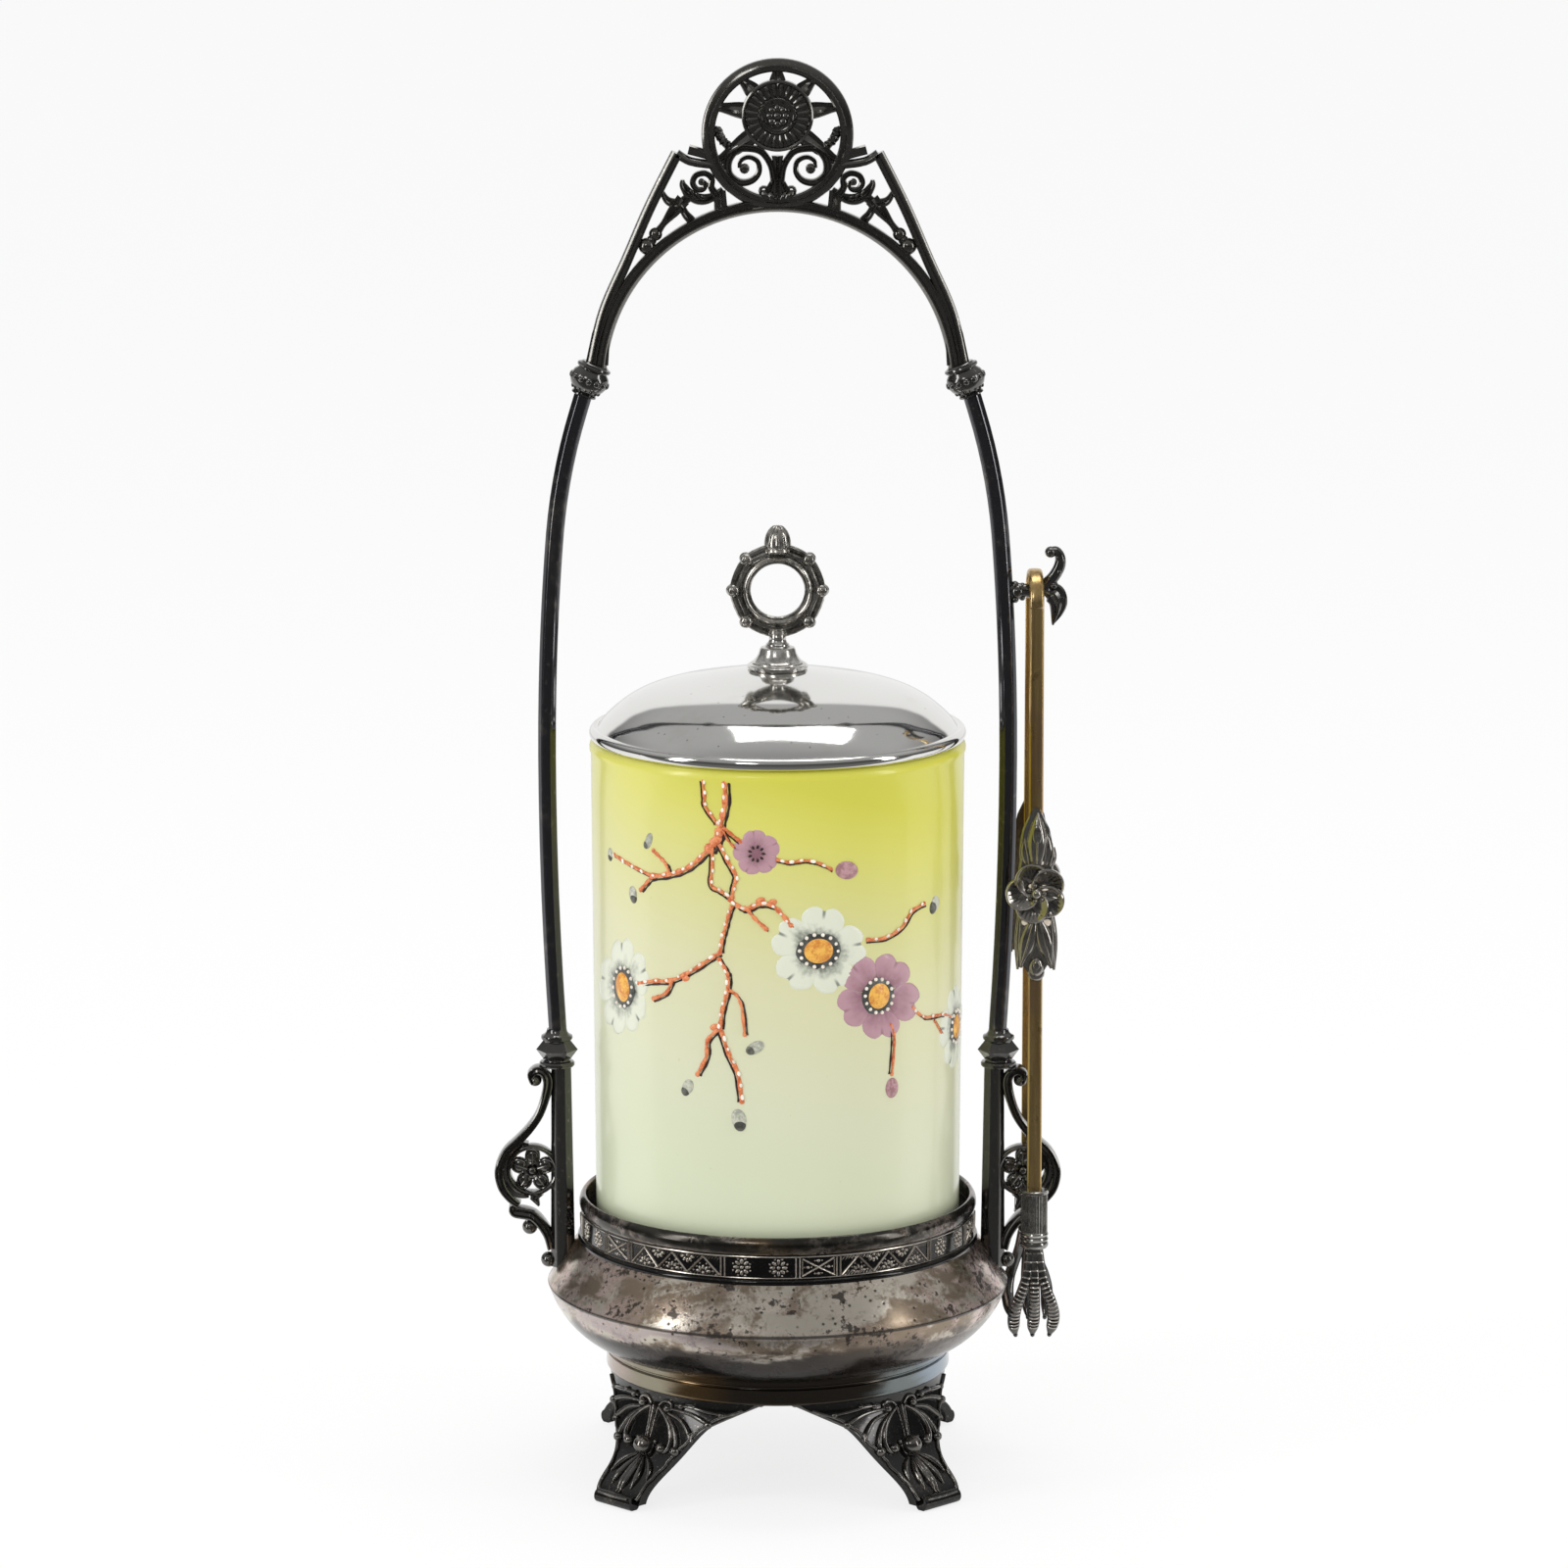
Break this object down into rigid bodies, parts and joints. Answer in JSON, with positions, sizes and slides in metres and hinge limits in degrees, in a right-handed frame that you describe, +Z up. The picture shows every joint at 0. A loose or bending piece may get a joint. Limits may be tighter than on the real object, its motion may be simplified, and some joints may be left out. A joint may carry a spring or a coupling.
{
  "type": "pickle castor",
  "caption": "Footed silver-plated stand with a tall arched handle, a lidded opal glass jar and hanging claw tongs.",
  "frame": {"origin": "on the floor under the jar's axis", "axes": "+Z up, -Y towards the front of the stand, +X towards the side with the tongs"},
  "size_m": [0.1274, 0.1032, 0.3166],
  "materials": {
    "dark_silver": "dark tarnished silver plate with worn bright edges",
    "base_silver": "mottled tarnished silver plate",
    "bright_silver": "polished silver plate with a light haze",
    "grey_silver": "grey silver plate",
    "brass_strip": "worn golden-brown brass",
    "opal_glass": "satin opal glass, yellow at the mouth and pale green below, with painted enamel sprays"
  },
  "bodies": {
    "frame": {"foot_front_right": "dark_silver", "foot_front_left": "dark_silver", "foot_back_right": "dark_silver", "foot_back_left": "dark_silver", "post_right": "dark_silver", "post_left": "dark_silver", "collar_right": "dark_silver", "collar_left": "dark_silver", "side_rod_right": "dark_silver", "side_rod_left": "dark_silver", "knop_right": "dark_silver", "knop_left": "dark_silver", "handle_crest": "dark_silver", "scroll_bracket_right": "dark_silver", "scroll_bracket_left": "dark_silver", "tongs_hook": "dark_silver", "foot_ring": "base_silver", "base_bowl": "base_silver", "gallery_band": "base_silver", "gallery_rim": "base_silver", "base_floor": "base_silver"},
    "jar": {"jar": "opal_glass"},
    "lid": {"lid_dome": "bright_silver", "lid_collar": "bright_silver", "finial_foot": "grey_silver", "finial_nut": "grey_silver", "finial_ring": "grey_silver"},
    "tongs": {"tongs_bow": "brass_strip"},
    "tongs_front_arm": {"tongs_arm_front": "brass_strip", "tongs_ferrule_front": "grey_silver", "tongs_claw_front": "dark_silver", "tongs_flower_front": "dark_silver"},
    "tongs_back_arm": {"tongs_arm_back": "brass_strip", "tongs_ferrule_back": "grey_silver", "tongs_claw_back": "dark_silver", "tongs_flower_back": "dark_silver"}
  },
  "joints": [
    {"name": "jar_lift", "type": "slide", "parent": "frame", "child": "jar", "axis": [0, 0, 1], "range_m": [0, 0.032]},
    {"name": "lid_lift", "type": "slide", "parent": "jar", "child": "lid", "axis": [0, 0, 1], "range_m": [0, 0.034]},
    {"name": "tongs_lift", "type": "slide", "parent": "frame", "child": "tongs", "axis": [0, 0, 1], "range_m": [0, 0.2]},
    {"name": "front_arm_squeeze", "type": "hinge", "parent": "tongs", "child": "tongs_front_arm", "pos_m": [0.05704, -0.007, 0.1965], "axis": [0.9994, 0.0349, 0], "range_deg": [0, 2], "stiffness_Nm_per_rad": 1.5},
    {"name": "back_arm_squeeze", "type": "hinge", "parent": "tongs", "child": "tongs_back_arm", "pos_m": [0.05656, 0.007, 0.1965], "axis": [0.9994, 0.0349, 0], "range_deg": [-2, 0], "stiffness_Nm_per_rad": 1.5}
  ],
  "couplings": [
    {"joint": "back_arm_squeeze", "follows": "front_arm_squeeze", "ratio": -1}
  ]
}
